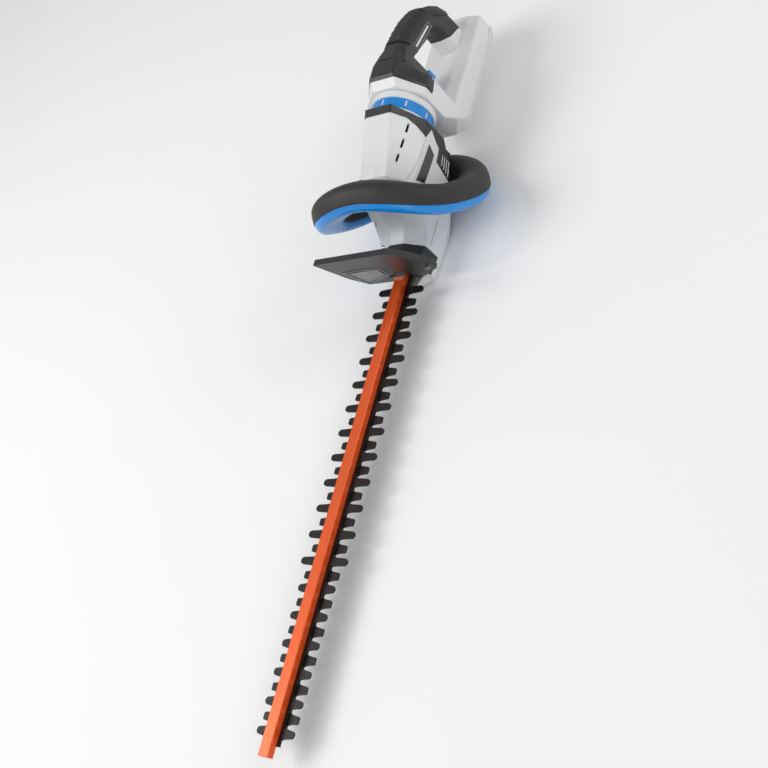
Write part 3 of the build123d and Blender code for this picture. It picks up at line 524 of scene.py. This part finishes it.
# Section of the ring: a rounded square of half sizes 20.6 and 19.8, split 7 mm forward of the centre
# line, with lips turned in at the split so no open edge shows.
SPLIT = 7.0
LIP_DEPTH = 3.0
line, out, nose = even_loop(300)
wrap = oval(20.6, 19.8, 2.7, 0, 360, 400)
soft_half = wrap[wrap[:, 1] < SPLIT - 0.3]
order = np.argsort(np.unwrap(np.arctan2(soft_half[:, 1] - 20, soft_half[:, 0])))
soft_half = soft_half[order][::-1]
soft_half = soft_half[np.linspace(0, len(soft_half) - 1, 44).astype(int)]


def lip(end):
    """Two points inward of one end of the section: the rolled edge and its foot."""
    inward = -np.sign(end[0])
    return [end + [LIP_DEPTH * inward, 0.0], end + [0.56 * inward, 0.25]]


soft_profile = np.concatenate([lip(soft_half[0]), soft_half, lip(soft_half[-1])[::-1]])
hard_half = oval(19.7, 19.4, 2.9, 0, 180, 200)
hard_half = hard_half[hard_half[:, 1] > SPLIT - 0.6]
hard_half = hard_half[np.linspace(0, len(hard_half) - 1, 40).astype(int)]
crown = np.clip(1 - np.abs(hard_half[:, 0]) / 11.5, 0, 1)
hard_half[:, 1] -= 1.1 * np.clip(crown * 6, 0, 1) * (hard_half[:, 1] > 14)
hard_profile = np.concatenate([[[15.5, SPLIT - 0.6]], hard_half, [[-15.5, SPLIT - 0.6]]])
for title, mesh_title, profile, material, node in (
        ("front_grip_overmould", "front_grip", soft_profile, RUBBER, "front_handle_grip"),
        ("front_loop_shell", "front_shell", hard_profile, BLUE, "front_handle_shell")):
    ring = grid_mesh(mesh_title, place(carried(line, out, nose, profile)), close_rows=True)
    piece(title, ring, material, "powerhead", node)

# ---- rear handle: shells, grip and controls -----------------------------------------------------------
# White lower shells and charcoal upper shells split on the centre line. The soft overmould has
# finger ribs moulded across its outer side, and a raised frame stands round the accent strip.
GRIP_LINE = np.array([
    [-288, 148.0, -288, 112.5, 20.0], [-318, 142.5, -310, 110.0, 17.0], [-344, 136.5, -333, 103.5, 17.0],
    [-367, 127.5, -350, 97.5, 17.0], [-385, 112.0, -357, 93.0, 17.0]])


def grip_rib(station):
    """Half-round rib across the grip: at turn a from -80 to 80 degrees the section's superellipse of power 3
    gives the base point, and the rib adds 1.7 sqrt(1 - v^2) mm outward at 3.4 v mm along the grip."""
    knots = np.arange(len(GRIP_LINE))
    ox, oz, ix, iz, half = (np.interp(station, knots, GRIP_LINE[:, k]) for k in range(5))
    nx, nz = (np.interp(station + 0.05, knots, GRIP_LINE[:, k]) for k in (0, 1))
    depth = math.hypot(ox - ix, oz - iz) / 2
    out_dir = np.array([ox - ix, 0.0, oz - iz]) / (2 * depth)
    run_dir = np.array([nx - ox, 0.0, nz - oz]) / math.hypot(nx - ox, nz - oz)
    middle = np.array([(ox + ix) / 2, 0.0, (oz + iz) / 2])
    a = np.radians(np.linspace(-80, 80, 41))
    v = np.linspace(-1, 1, 11)
    s, c = np.sin(a), np.cos(a)
    side = np.sign(s) * np.abs(s) ** (2 / 3.0)
    top = np.abs(c) ** (2 / 3.0)
    fade = np.clip((1 - (a / a[-1]) ** 8), 0, 1)
    lift = 0.9 + 1.7 * np.sqrt(1 - v ** 2)[None, :] * fade[:, None]
    return (middle + (side[:, None] * (half + lift))[..., None] * np.array([0.0, 1.0, 0.0])
            + (top[:, None] * (depth + lift))[..., None] * out_dir + (3.4 * v)[None, :, None] * run_dir)


dress(WHITE, "rear_housing_left", "rear_housing_right", "grip_inlay")
dress(DARK, "handle_casing_left", "handle_casing_right", "trigger", "lock_off_button")
dress(RUBBER, "grip_overmould")
dress(BLUE, "rotation_release")
dress(NYLON, "microswitch")
for side in ("left", "right"):
    softened("rear_housing_" + side, WHITE, "rear_handle", 0.8)
    softened("handle_casing_" + side, DARK, "rear_handle", 0.8)
addition("grip_ribs", [place(grip_rib(s)) for s in np.linspace(1.15, 3.1, 6)], RUBBER, "rear_handle")
GRIP_FACE = 17.4
frame_line = [(-302.5, GRIP_FACE, 126.0), (-302.5, GRIP_FACE, 115.4), (-354, GRIP_FACE, 104.4),
              (-354, GRIP_FACE, 115.2)]
addition("grip_frame", [place(raised_line(frame_line, (0, 1, 0), 0.9))], GREY, "rear_handle")

# ---- battery, its latch and its contacts ----------------------------------------------------------
# The pack is a white moulded case with ten shrink-wrapped cells. It slides on rails into the
# lower arm, onto brass blades in a nylon block, and a charcoal latch holds it at the rear.
BRASS = metal("brass_contact", (0.60, 0.42, 0.16), (0.70, 0.52, 0.24), 0.30)
CELL = moulded("cell_wrap", (0.03, 0.14, 0.32), (0.02, 0.1, 0.25), 0.35, 0.1)
dress(WHITE, "battery_case")
dress(DARK, "battery_latch")
dress(NYLON, "terminal_block")
dress(BRASS, "tool_terminals")
dress(CELL, "battery_cells")
softened("battery_case", WHITE, "battery", 0.8)

# ---- blades under their cover bar ---------------------------------------------------------------
# Two stamped steel blades with a black finish, hung by shouldered bolts under a folded steel
# bar painted orange. The paint is worn thin along its edges.
ORANGE = metal("orange_paint", (0.80, 0.105, 0.012), (0.66, 0.08, 0.010), 0.34, lines=0.10, wear=0.25,
               specks=0.15, metallic=0.35, coat=0.25)
BLADE = metal("black_blade", (0.020, 0.019, 0.018), (0.06, 0.058, 0.055), 0.42, lines=0.35, wear=0.5,
              specks=0.5, metallic=0.6)
dress(ORANGE, "blade_cover")
dress(BLADE, "blade_upper", "blade_lower")
softened("blade_cover", ORANGE, "powerhead", 0.8)

# ---- gears, rods and their case --------------------------------------------------------------------
# Cut and ground steel on the shaft, the eccentrics and the rods, in a die-cast case that is
# screwed together from below.
GEAR = metal("machined_gear", (0.36, 0.355, 0.35), (0.5, 0.49, 0.48), 0.34, lines=0.3)
CAST = metal("cast_case", (0.52, 0.525, 0.53), (0.40, 0.40, 0.40), 0.50, lines=0.1, wear=0.6, specks=0.6)
dress(GEAR, "gear_bearings", "motor_bearings", "motor_shaft", "motor_pinion", "drive_gear", "gear_shaft",
      "eccentric_upper", "eccentric_lower", "connecting_rod_upper", "connecting_rod_lower")
dress(CAST, "gear_case", "gear_case_cover")

# ---- motor and control board -------------------------------------------------------------------------
# A lacquered steel can holds the stator; a nylon fan is pressed on the shaft. The board stands
# behind it on a ledge, under green solder mask.
MOTOR = metal("motor_paint", (0.03, 0.03, 0.033), (0.12, 0.12, 0.12), 0.4, metallic=0.3)
BOARD = moulded("board_mask", (0.008, 0.09, 0.035), (0.02, 0.12, 0.05), 0.35, 0.2, cloud=0.4)
dress(MOTOR, "motor_can")
dress(NYLON, "cooling_fan")
dress(BOARD, "control_board")
